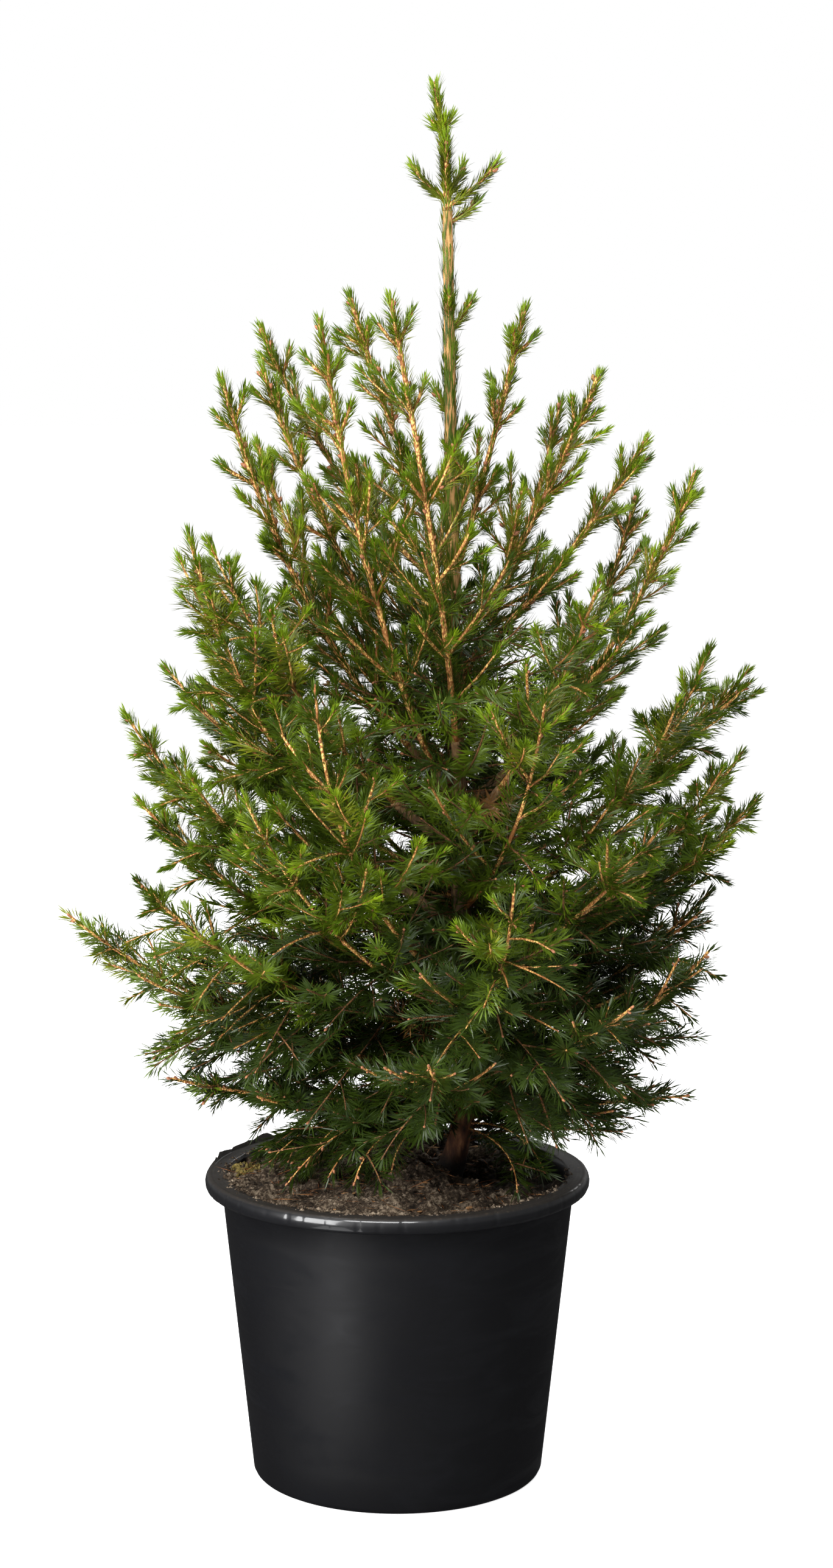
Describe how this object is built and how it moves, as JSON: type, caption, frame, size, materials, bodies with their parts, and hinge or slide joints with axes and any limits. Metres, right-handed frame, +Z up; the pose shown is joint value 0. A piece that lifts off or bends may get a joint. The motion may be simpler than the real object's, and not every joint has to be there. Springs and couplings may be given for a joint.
{
  "type": "potted norway spruce",
  "caption": "Young Norway spruce with a straight needled leader, whorls of upswept boughs and a full lower crown, standing in a round black nursery pot filled with soil.",
  "frame": {"origin": "middle of the pot's flat underside", "axes": "+Z up along the tree, -Y towards the viewer of the picture, +X to the viewer's right"},
  "size_m": [0.516, 0.4453, 1.0059],
  "materials": {
    "pot": "satin black moulded plastic, dusty on the rim",
    "soil": "crumbly grey-brown potting soil with bark bits, dry needles and moss",
    "bark": "rough reddish to grey-brown young spruce bark",
    "needles": "stiff satin green needles with yellow-green tips on tan twigs"
  },
  "bodies": {
    "root": {"pot": "pot", "soil": "soil", "trunk": "bark", "leader_top": "needles", "bough_10": "bark", "bough_11": "bark", "bough_12": "bark", "bough_13": "bark", "bough_14": "bark", "bough_15": "bark", "bough_19": "bark", "bough_21": "bark", "bough_23": "bark", "bough_25": "bark", "bough_36": "bark", "foliage_01": "needles", "foliage_02": "needles", "foliage_03": "needles", "foliage_04": "needles", "foliage_05": "needles", "foliage_06": "needles", "foliage_07": "needles", "foliage_08": "needles", "foliage_09": "needles", "foliage_10": "needles", "foliage_11": "needles", "foliage_12": "needles", "foliage_13": "needles", "foliage_14": "needles", "foliage_15": "needles", "foliage_16": "needles", "foliage_17": "needles", "foliage_18": "needles", "foliage_19": "needles", "foliage_20": "needles", "foliage_21": "needles", "foliage_22": "needles", "foliage_23": "needles", "foliage_24": "needles", "foliage_25": "needles", "foliage_26": "needles", "foliage_27": "needles", "foliage_28": "needles", "foliage_29": "needles", "foliage_30": "needles", "foliage_31": "needles", "foliage_32": "needles", "foliage_33": "needles", "foliage_34": "needles", "foliage_35": "needles", "foliage_36": "needles", "foliage_37": "needles", "foliage_38": "needles", "foliage_39": "needles", "foliage_40": "needles", "foliage_41": "needles", "foliage_42": "needles", "foliage_43": "needles", "foliage_44": "needles", "foliage_45": "needles"}
  },
  "joints": []
}
